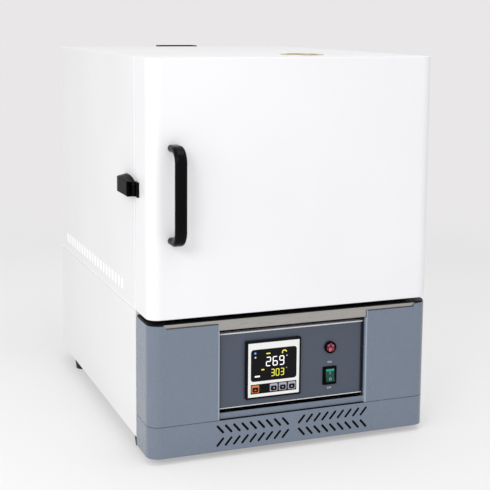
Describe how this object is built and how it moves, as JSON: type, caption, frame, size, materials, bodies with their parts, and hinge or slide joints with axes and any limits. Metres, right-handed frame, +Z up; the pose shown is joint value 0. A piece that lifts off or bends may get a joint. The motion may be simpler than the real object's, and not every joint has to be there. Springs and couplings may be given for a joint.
{
  "type": "muffle furnace",
  "caption": "Bench-top muffle furnace: hinged insulated door with bow handle and side latch, fibre chamber with coils, and a base with controller, lamp and switch.",
  "frame": {"origin": "on the floor, under the middle of the whole furnace's extents", "axes": "+Z up, -Y towards the front (door), +X towards the furnace's right side as seen from the front, where the hinges are"},
  "size_m": [0.52, 0.7014, 0.64],
  "materials": {
    "white_enamel": "smooth baked powder paint, satin",
    "side_enamel": "smooth baked powder paint, satin",
    "slate_enamel": "grey-blue baked powder paint, satin",
    "panel_enamel": "dark blue-grey powder paint, fine texture",
    "black_enamel": "black powder paint, satin",
    "galvanised_sheet": "zinc-coated sheet, dull",
    "stainless_sheet": "brushed stainless sheet",
    "plated_screw": "zinc-plated",
    "black_rubber": "moulded, matt",
    "vacuum_formed_fibre": "rigid vacuum-formed ceramic fibre, matt",
    "fibre_blanket": "needled ceramic fibre blanket",
    "fibre_rope": "woven ceramic fibre",
    "resistance_alloy": "oxidised iron-chromium-aluminium wire",
    "fired_ceramic": "unglazed fired ceramic",
    "cordierite_tile": "pressed and fired cordierite",
    "black_plastic": "moulded, fine texture",
    "instrument_plastic": "moulded polycarbonate, with a black edge",
    "instrument_window": "dark acrylic over the display",
    "key_plastic": "rubbery key top",
    "set_key_plastic": "orange-edged key top",
    "lamp_lens": "ribbed red acrylic",
    "rocker_plastic": "green translucent moulding",
    "grey_plastic": "moulded, satin",
    "extruded_aluminium": "anodised extrusion",
    "black_handle": "satin black powder paint on cast alloy"
  },
  "bodies": {
    "cabinet": {"upper_casing": "side_enamel", "left_side_panel": "side_enamel", "right_side_panel": "side_enamel", "base_pan": "galvanised_sheet", "mid_deck": "galvanised_sheet", "front_frame": "stainless_sheet", "rear_cover": "side_enamel", "rear_vent_hood": "black_enamel", "cover_screws": "plated_screw", "rubber_feet": "black_rubber", "foot_bolts": "plated_screw", "muffle_floor": "vacuum_formed_fibre", "muffle_roof": "vacuum_formed_fibre", "muffle_sides": "vacuum_formed_fibre", "muffle_rear": "vacuum_formed_fibre", "blanket_slabs": "fibre_blanket", "blanket_sides": "fibre_blanket", "blanket_rear": "fibre_blanket", "chamber_casing": "galvanised_sheet", "heating_coils": "resistance_alloy", "element_bushes": "fired_ceramic", "hearth_plate": "cordierite_tile", "thermocouple": "fired_ceramic", "exhaust_tube": "fired_ceramic", "exhaust_collar": "stainless_sheet", "cabinet_hinge_leaves": "black_handle", "hinge_pins": "plated_screw", "latch_housing": "black_handle", "base_top_plate": "black_enamel", "sill_strip": "stainless_sheet", "base_fascia": "slate_enamel", "plinth": "slate_enamel", "control_panel": "panel_enamel", "controller_case": "instrument_plastic", "controller_window": "instrument_window", "pilot_lamp": "black_plastic", "pilot_lens": "lamp_lens", "switch_housing": "black_plastic", "solid_state_relay": "black_plastic", "heat_sink": "extruded_aluminium", "terminal_block": "grey_plastic", "circuit_breaker": "grey_plastic", "cable_gland": "black_plastic"},
    "door": {"door_skin": "white_enamel", "door_inner_pan": "stainless_sheet", "door_plug": "vacuum_formed_fibre", "door_insulation": "fibre_blanket", "door_gasket": "fibre_rope", "door_handle": "black_handle", "handle_screws": "plated_screw", "latch_keeper": "black_handle", "door_hinge_leaves": "black_handle"},
    "latch_bolt": {"latch_bolt": "black_plastic"},
    "rocker": {"rocker": "rocker_plastic"},
    "key_set": {"key_set": "set_key_plastic"},
    "key_shift": {"key_shift": "key_plastic"},
    "key_down": {"key_down": "key_plastic"},
    "key_up": {"key_up": "key_plastic"},
    "breaker_toggle": {"breaker_toggle": "black_plastic"}
  },
  "joints": [
    {"name": "door_hinge", "type": "hinge", "parent": "cabinet", "child": "door", "pos_m": [0.253, -0.23525, 0.436], "axis": [0, 0, 1], "range_deg": [0, 120]},
    {"name": "latch_bolt_slide", "type": "slide", "parent": "cabinet", "child": "latch_bolt", "axis": [-1, 0, 0], "range_m": [0, 0.0026], "stiffness_N_per_m": 900, "springref_m": -0.002},
    {"name": "rocker_tilt", "type": "hinge", "parent": "cabinet", "child": "rocker", "pos_m": [0.068, -0.29515, 0.1128], "axis": [1, 0, 0], "range_deg": [0, 18]},
    {"name": "key_set_press", "type": "slide", "parent": "cabinet", "child": "key_set", "axis": [0, 1, 0], "range_m": [0, 0.0008], "stiffness_N_per_m": 1200, "springref_m": -0.0004},
    {"name": "key_shift_press", "type": "slide", "parent": "cabinet", "child": "key_shift", "axis": [0, 1, 0], "range_m": [0, 0.0008], "stiffness_N_per_m": 1200, "springref_m": -0.0004},
    {"name": "key_down_press", "type": "slide", "parent": "cabinet", "child": "key_down", "axis": [0, 1, 0], "range_m": [0, 0.0008], "stiffness_N_per_m": 1200, "springref_m": -0.0004},
    {"name": "key_up_press", "type": "slide", "parent": "cabinet", "child": "key_up", "axis": [0, 1, 0], "range_m": [0, 0.0008], "stiffness_N_per_m": 1200, "springref_m": -0.0004},
    {"name": "breaker_toggle_tilt", "type": "hinge", "parent": "cabinet", "child": "breaker_toggle", "pos_m": [-0.15, 0.31475, 0.11], "axis": [1, 0, 0], "range_deg": [-56, 0]}
  ]
}
